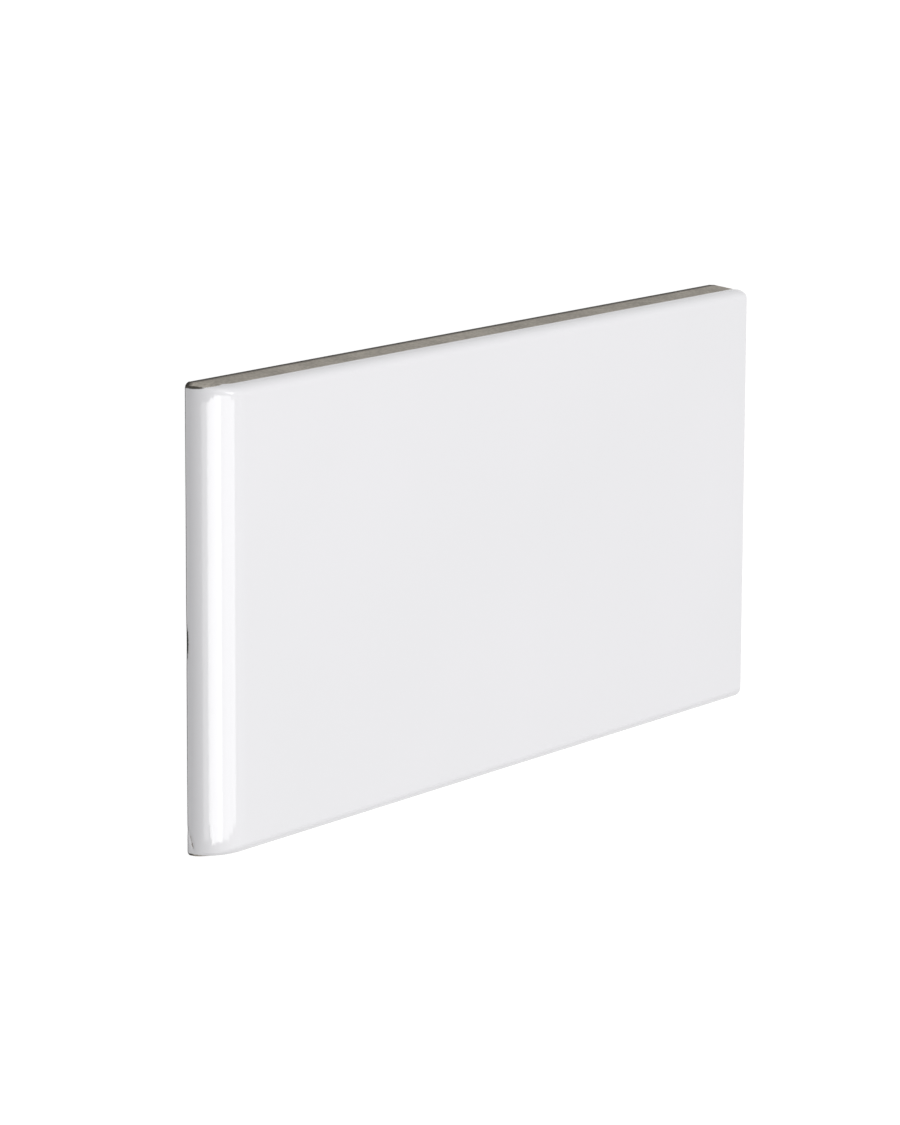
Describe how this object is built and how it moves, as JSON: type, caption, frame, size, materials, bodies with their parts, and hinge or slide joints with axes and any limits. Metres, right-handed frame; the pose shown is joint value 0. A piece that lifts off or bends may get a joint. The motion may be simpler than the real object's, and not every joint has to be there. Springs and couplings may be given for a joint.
{
  "type": "bullnose tile",
  "caption": "Oblong glazed wall tile with a rounded bullnose short end, softened face rims, bare biscuit sides and a grooved back for adhesive; finishes an exposed tiled edge.",
  "frame": {"origin": "middle of the back, which lies on the floor", "axes": "+X from the bullnose end to the plain end, +Y across the width, +Z out of the glazed face"},
  "size_m": [0.15, 0.075, 0.007],
  "materials": {
    "glazed_tile": "gloss white glaze on the face and bullnose, bare grey-buff biscuit on the other sides and the back"
  },
  "bodies": {
    "root": {"bullnose_tile": "glazed_tile"}
  },
  "joints": []
}
